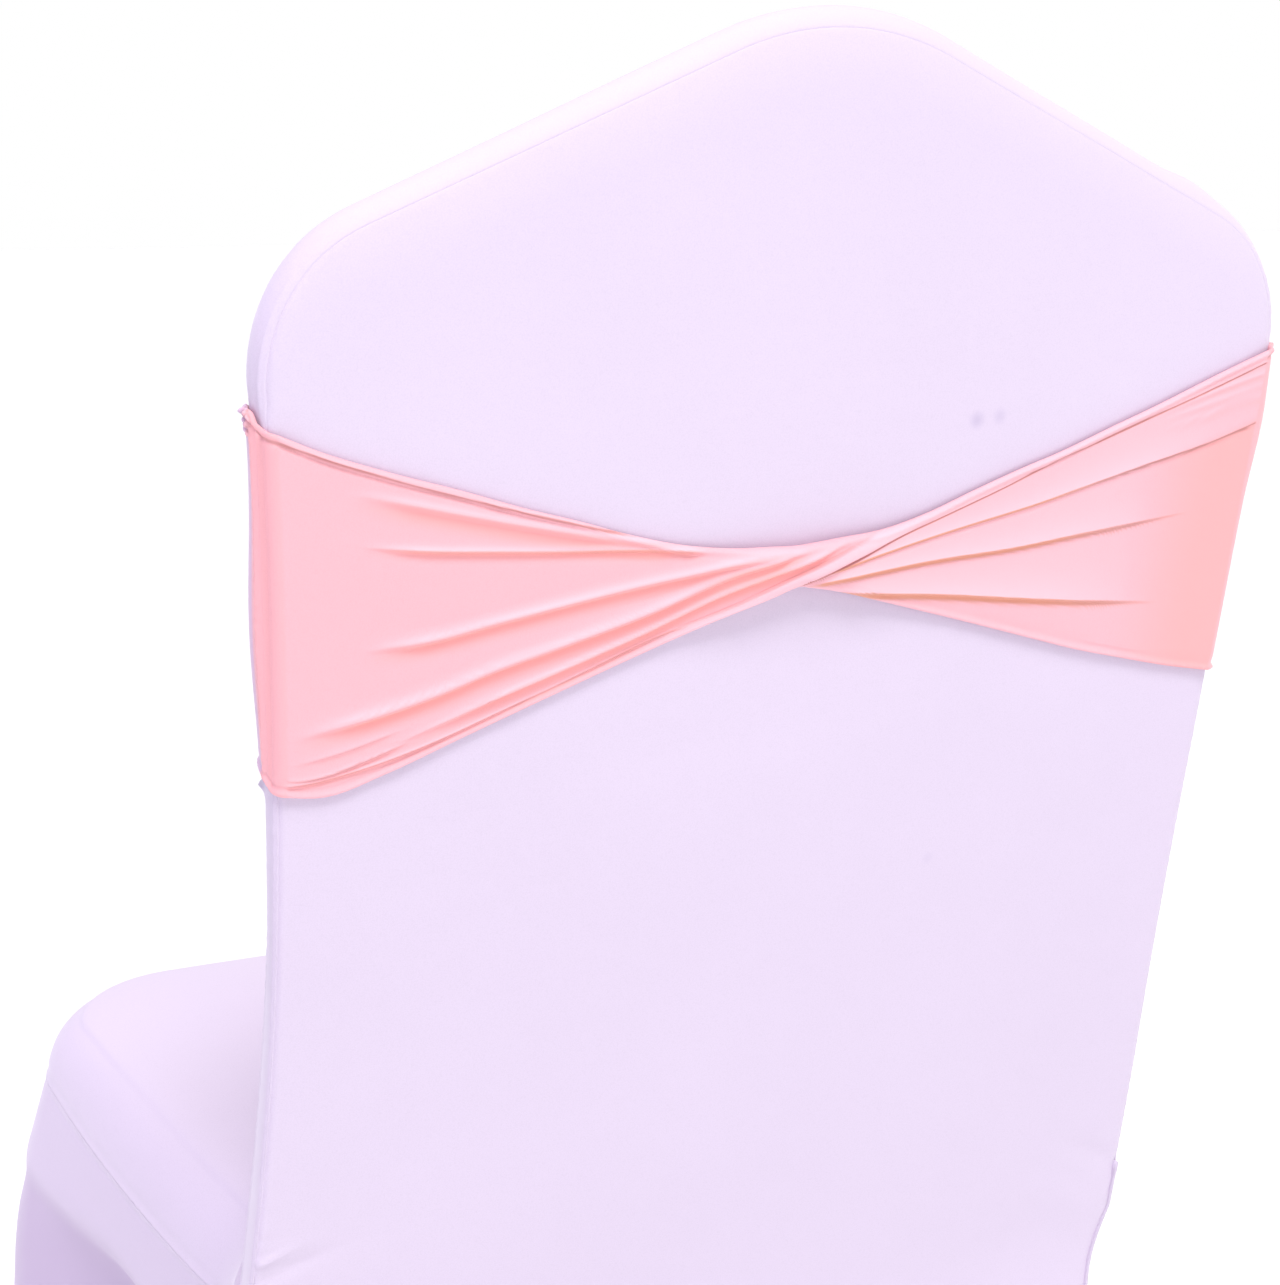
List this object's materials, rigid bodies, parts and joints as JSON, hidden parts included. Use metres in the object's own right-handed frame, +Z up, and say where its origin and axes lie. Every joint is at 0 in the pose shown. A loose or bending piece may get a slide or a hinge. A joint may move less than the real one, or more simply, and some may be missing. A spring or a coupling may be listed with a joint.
{
  "type": "stretch chair slipcover",
  "caption": "Stretch slipcover for a crown-back banquet chair, with a boxed back, a domed seat, a skirt arched between the feet and a twisted sash band behind the back.",
  "frame": {"origin": "under the crown of the back, where the chair's top rail holds the cover from inside", "axes": "+Z up, +Y to the rear of the chair, +X to the sitter's left"},
  "size_m": [0.5104, 0.4599, 0.9136],
  "materials": {
    "cover_cloth": "fine pale lilac stretch knit with a slight sheen",
    "sash_cloth": "fine pink stretch knit with a slight sheen"
  },
  "bodies": {
    "root": {"back_panel": "cover_cloth", "front_panel": "cover_cloth", "back_gusset": "cover_cloth", "seat_panel": "cover_cloth", "seat_skirt": "cover_cloth", "sash_band": "sash_cloth"}
  },
  "joints": []
}
